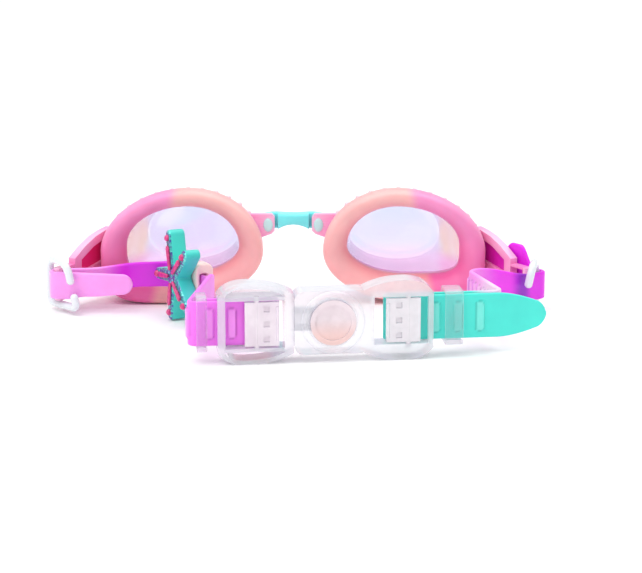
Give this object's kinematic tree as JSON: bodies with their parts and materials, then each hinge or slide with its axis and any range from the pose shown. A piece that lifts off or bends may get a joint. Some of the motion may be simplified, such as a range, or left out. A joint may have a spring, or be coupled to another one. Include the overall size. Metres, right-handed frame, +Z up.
{
  "type": "swim goggles",
  "caption": "Swim goggles with two soft-sealed eye cups, a pegged nose bridge, ribbed straps, a starfish charm and a clear release clasp at the back.",
  "frame": {"origin": "on the resting surface, midway between the eye cups, in the plane where the seals meet the face", "axes": "+X to the wearer's right, +Y forwards through the lenses, +Z up"},
  "size_m": [0.1763, 0.1079, 0.0413],
  "materials": {
    "bridge_turquoise": "satin silicone",
    "rim_pink": "soft gloss",
    "lens_mirror": "iridescent mirror coat",
    "seal_two_tone": "satin silicone, peach nose side and pink temple side",
    "stud_pearl": "pearl",
    "clip_white": "gloss",
    "strap_left": "satin silicone",
    "strap_right": "satin silicone, magenta at the arm and turquoise at the tail",
    "clear_plastic": "clear, polished",
    "button_blush": "clear, faintly pink",
    "spring_steel": "drawn wire",
    "star_teal": "satin, with glitter on the face",
    "star_pink": "gloss",
    "loop_peach": "satin"
  },
  "bodies": {
    "bridge": {"nose_bridge": "bridge_turquoise"},
    "left_half": {"left_frame": "rim_pink", "left_lens": "lens_mirror", "left_gasket": "seal_two_tone", "left_frame_studs": "stud_pearl", "left_clip": "clip_white", "left_strap": "strap_left", "clasp_plug": "clear_plastic"},
    "right_half": {"right_frame": "rim_pink", "right_lens": "lens_mirror", "right_gasket": "seal_two_tone", "right_frame_studs": "stud_pearl", "right_clip": "clip_white", "right_strap": "strap_right", "clasp_socket": "clear_plastic", "button_spring": "spring_steel"},
    "button": {"release_button": "button_blush"},
    "left_lever": {"left_lever": "clear_plastic"},
    "right_lever": {"right_lever": "clear_plastic"},
    "left_keeper": {"left_keeper": "clear_plastic"},
    "right_keeper": {"right_keeper": "clear_plastic"},
    "charm": {"star_body": "star_teal", "star_rays": "star_pink", "star_studs": "star_pink", "star_loop": "loop_peach"}
  },
  "joints": [
    {"name": "left_half_swing", "type": "hinge", "parent": "bridge", "child": "left_half", "pos_m": [-0.0091, 0.014, 0.0267], "axis": [0, 0, -1], "range_deg": [0, 6], "stiffness_Nm_per_rad": 0.05},
    {"name": "right_half_swing", "type": "hinge", "parent": "bridge", "child": "right_half", "pos_m": [0.0091, 0.014, 0.0267], "axis": [0, 0, 1], "range_deg": [0, 6], "stiffness_Nm_per_rad": 0.05},
    {"name": "button_press", "type": "slide", "parent": "right_half", "child": "button", "axis": [-0.1219, 0.9925, 0], "range_m": [0, 0.0008], "stiffness_N_per_m": 300, "deforming": ["button_spring"]},
    {"name": "left_lever_tip", "type": "hinge", "parent": "left_half", "child": "left_lever", "pos_m": [-0.01079, -0.07829, 0.01325], "axis": [0, 0, -1], "range_deg": [0, 12]},
    {"name": "right_lever_tip", "type": "hinge", "parent": "right_half", "child": "right_lever", "pos_m": [0.03844, -0.07225, 0.01325], "axis": [0, 0, 1], "range_deg": [0, 12]},
    {"name": "left_keeper_slide", "type": "slide", "parent": "left_half", "child": "left_keeper", "axis": [0.9925, 0.1219, 0], "range_m": [0, 0.0022]},
    {"name": "right_keeper_slide", "type": "slide", "parent": "right_half", "child": "right_keeper", "axis": [0.9925, 0.1219, 0], "range_m": [-0.003, 0.007]},
    {"name": "charm_slide", "type": "slide", "parent": "left_half", "child": "charm", "axis": [0.4305, -0.9026, 0], "range_m": [-0.0015, 0.0012]}
  ],
  "couplings": [
    {"joint": "right_half_swing", "follows": "left_half_swing", "ratio": 1}
  ]
}
